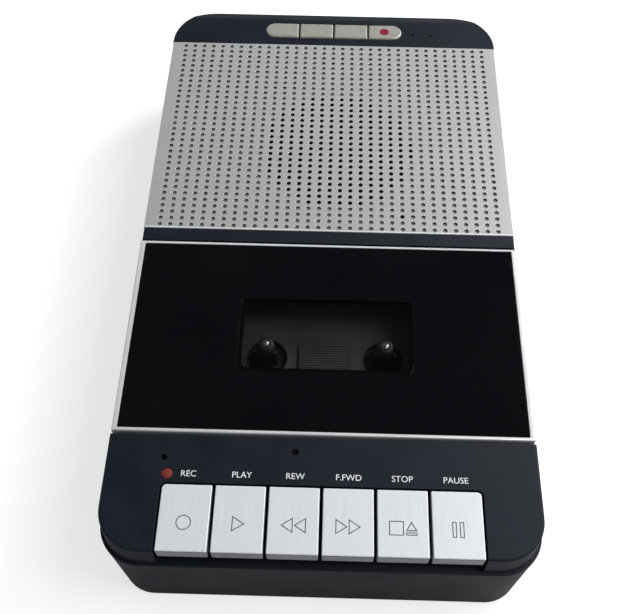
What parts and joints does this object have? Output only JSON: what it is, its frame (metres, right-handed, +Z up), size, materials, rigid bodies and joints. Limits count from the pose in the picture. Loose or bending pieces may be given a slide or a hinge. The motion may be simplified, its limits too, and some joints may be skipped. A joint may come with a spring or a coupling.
{
  "type": "cassette recorder",
  "caption": "Flat portable cassette recorder with a perforated speaker plate, a windowed lid over its cassette well and a row of piano keys at the front.",
  "frame": {"origin": "centre of the footprint, on the plane that the feet stand on", "axes": "+Z up, +Y from the key end towards the speaker end, +X towards the right side with the volume wheel"},
  "size_m": [0.142, 0.245, 0.0506],
  "materials": {
    "case_plastic": "fine textured, satin",
    "black_plastic": "plain moulded",
    "gloss_black": "polished",
    "silver_paint": "silver satin paint",
    "key_paint": "bright silver paint",
    "smoked_clear": "smoked clear plastic",
    "steel": "plated",
    "brass": "turned",
    "rubber": "matte",
    "board": "circuit board",
    "paper": "speaker cone paper",
    "red_lens": "clear red",
    "dark_lens": "dark clear"
  },
  "bodies": {
    "case": {"upper_housing": "case_plastic", "lower_housing": "case_plastic", "housing_screw_front_left": "steel", "housing_screw_front_right": "steel", "housing_screw_rear_left": "steel", "housing_screw_rear_right": "steel", "rubber_foot_front_left": "rubber", "rubber_foot_front_right": "rubber", "rubber_foot_rear_left": "rubber", "rubber_foot_rear_right": "rubber", "battery_spring_contact": "steel", "battery_plate_contact": "steel", "battery_link_contact": "steel", "speaker_grille": "silver_paint", "speaker_frame": "steel", "speaker_magnet": "steel", "speaker_cone": "paper", "key_bracket": "steel", "key_shaft": "steel", "key_return_spring": "steel", "cassette_tray": "black_plastic", "cassette_rest_pad": "black_plastic", "deck_plate": "steel", "capstan_bearing": "brass", "flywheel_bracket": "steel", "motor": "steel", "drive_belt": "rubber", "button_board": "board", "record_led": "red_lens", "power_led": "dark_lens", "microphone": "steel", "main_board": "board", "audio_jacks": "black_plastic", "dc_jack": "black_plastic", "usb_socket": "steel"},
    "battery_hatch": {"battery_door": "case_plastic"},
    "lid": {"cassette_door": "gloss_black", "door_trim": "silver_paint", "door_window": "smoked_clear"},
    "record_key": {"record_key": "key_paint"},
    "play_key": {"play_key": "key_paint"},
    "rewind_key": {"rewind_key": "key_paint"},
    "fast_forward_key": {"fast_forward_key": "key_paint"},
    "stop_eject_key": {"stop_eject_key": "key_paint"},
    "pause_key": {"pause_key": "key_paint"},
    "supply_spindle": {"supply_spindle": "black_plastic"},
    "take_up_spindle": {"take_up_spindle": "black_plastic"},
    "capstan": {"capstan_shaft": "steel", "flywheel": "brass"},
    "motor_pulley": {"motor_pulley": "brass"},
    "head_slide": {"head_plate": "steel", "record_play_head": "steel", "erase_head": "steel"},
    "pinch_arm": {"pinch_arm": "steel"},
    "pinch_roller": {"pinch_roller": "rubber"},
    "memory_play_button": {"memory_play_button": "silver_paint"},
    "memory_back_button": {"memory_back_button": "silver_paint"},
    "memory_next_button": {"memory_next_button": "silver_paint"},
    "memory_record_button": {"memory_record_button": "silver_paint"},
    "volume_wheel": {"volume_wheel": "black_plastic"}
  },
  "joints": [
    {"name": "lid_hinge", "type": "hinge", "parent": "case", "child": "lid", "pos_m": [0, -0.00825, 0.0478], "axis": [-1, 0, 0], "range_deg": [0, 55]},
    {"name": "battery_hatch_slide", "type": "slide", "parent": "case", "child": "battery_hatch", "axis": [0, 1, 0], "range_m": [0, 0.045]},
    {"name": "record_key_press", "type": "hinge", "parent": "case", "child": "record_key", "pos_m": [-0.04275, -0.0925, 0.0405], "axis": [1, 0, 0], "range_deg": [0, 7], "stiffness_Nm_per_rad": 0.4, "springref_deg": -8.59},
    {"name": "play_key_press", "type": "hinge", "parent": "case", "child": "play_key", "pos_m": [-0.02565, -0.0925, 0.0405], "axis": [1, 0, 0], "range_deg": [0, 7], "stiffness_Nm_per_rad": 0.4, "springref_deg": -8.59},
    {"name": "rewind_key_press", "type": "hinge", "parent": "case", "child": "rewind_key", "pos_m": [-0.00855, -0.0925, 0.0405], "axis": [1, 0, 0], "range_deg": [0, 7], "stiffness_Nm_per_rad": 0.4, "springref_deg": -8.59},
    {"name": "fast_forward_key_press", "type": "hinge", "parent": "case", "child": "fast_forward_key", "pos_m": [0.00855, -0.0925, 0.0405], "axis": [1, 0, 0], "range_deg": [0, 7], "stiffness_Nm_per_rad": 0.4, "springref_deg": -8.59},
    {"name": "stop_eject_key_press", "type": "hinge", "parent": "case", "child": "stop_eject_key", "pos_m": [0.02565, -0.0925, 0.0405], "axis": [1, 0, 0], "range_deg": [0, 7], "stiffness_Nm_per_rad": 0.4, "springref_deg": -8.59},
    {"name": "pause_key_press", "type": "hinge", "parent": "case", "child": "pause_key", "pos_m": [0.04275, -0.0925, 0.0405], "axis": [1, 0, 0], "range_deg": [0, 7], "stiffness_Nm_per_rad": 0.4, "springref_deg": -8.59},
    {"name": "head_slide_travel", "type": "slide", "parent": "case", "child": "head_slide", "axis": [0, 1, 0], "range_m": [0, 0.0035]},
    {"name": "pinch_arm_swing", "type": "hinge", "parent": "case", "child": "pinch_arm", "pos_m": [0.0365, -0.08265, 0.0362], "axis": [0, 0, 1], "range_deg": [-12.5, 0]},
    {"name": "pinch_roller_spin", "type": "hinge", "parent": "pinch_arm", "child": "pinch_roller", "pos_m": [0.0225, -0.08265, 0.0375], "axis": [0, 0, 1], "continuous": true},
    {"name": "supply_spindle_spin", "type": "hinge", "parent": "case", "child": "supply_spindle", "pos_m": [-0.02125, -0.0445, 0.0301], "axis": [0, 0, 1], "continuous": true},
    {"name": "take_up_spindle_spin", "type": "hinge", "parent": "case", "child": "take_up_spindle", "pos_m": [0.02125, -0.0445, 0.0301], "axis": [0, 0, 1], "continuous": true},
    {"name": "capstan_spin", "type": "hinge", "parent": "case", "child": "capstan", "pos_m": [0.0225, -0.0735, 0.008], "axis": [0, 0, 1], "continuous": true},
    {"name": "motor_spin", "type": "hinge", "parent": "case", "child": "motor_pulley", "pos_m": [-0.033, -0.058, 0.008], "axis": [0, 0, 1], "continuous": true},
    {"name": "memory_play_press", "type": "slide", "parent": "case", "child": "memory_play_button", "axis": [0, 0, -1], "range_m": [0, 0.0005], "stiffness_N_per_m": 300, "springref_m": -0.001},
    {"name": "memory_back_press", "type": "slide", "parent": "case", "child": "memory_back_button", "axis": [0, 0, -1], "range_m": [0, 0.0005], "stiffness_N_per_m": 300, "springref_m": -0.001},
    {"name": "memory_next_press", "type": "slide", "parent": "case", "child": "memory_next_button", "axis": [0, 0, -1], "range_m": [0, 0.0005], "stiffness_N_per_m": 300, "springref_m": -0.001},
    {"name": "memory_record_press", "type": "slide", "parent": "case", "child": "memory_record_button", "axis": [0, 0, -1], "range_m": [0, 0.0005], "stiffness_N_per_m": 300, "springref_m": -0.001},
    {"name": "volume_turn", "type": "hinge", "parent": "case", "child": "volume_wheel", "pos_m": [0.06, 0.0374, 0.013], "axis": [0, 0, 1], "range_deg": [0, 270]}
  ],
  "couplings": [
    {"joint": "head_slide_travel", "follows": "play_key_press", "m_per_rad": 0.0286},
    {"joint": "pinch_arm_swing", "follows": "play_key_press", "ratio": -1.78},
    {"joint": "motor_spin", "follows": "capstan_spin", "ratio": 5.1429}
  ]
}
